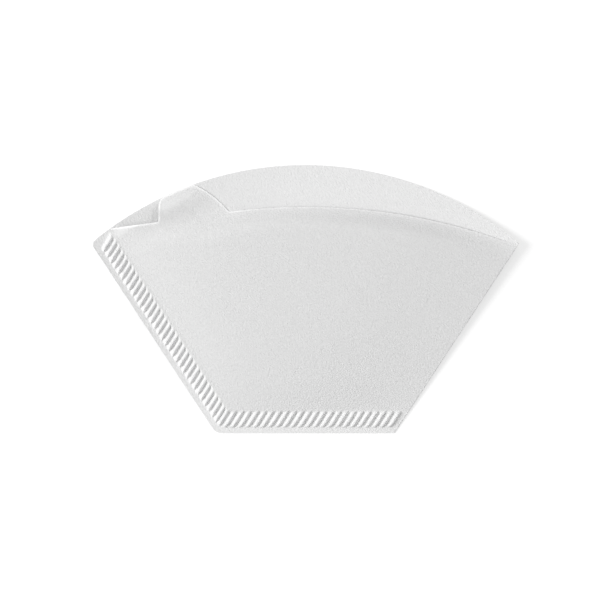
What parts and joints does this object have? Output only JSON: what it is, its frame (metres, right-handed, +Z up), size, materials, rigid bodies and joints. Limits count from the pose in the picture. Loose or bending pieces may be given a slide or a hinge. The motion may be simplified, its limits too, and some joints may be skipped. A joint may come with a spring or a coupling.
{
  "type": "paper coffee filter",
  "caption": "Folded white paper cone filter with crimped side and foot seams, a folded side, an open mouth and a thumb tab.",
  "frame": {"origin": "middle of the rest face on the table, halfway between the foot and the crown of the back ply", "axes": "+X across from the crimped side seam to the folded side, +Y from the foot to the mouth, +Z up from the table through the plies"},
  "size_m": [0.1645, 0.1042, 0.0071],
  "materials": {
    "paper": "matte"
  },
  "bodies": {
    "root": {"filter_paper": "paper"}
  },
  "joints": []
}
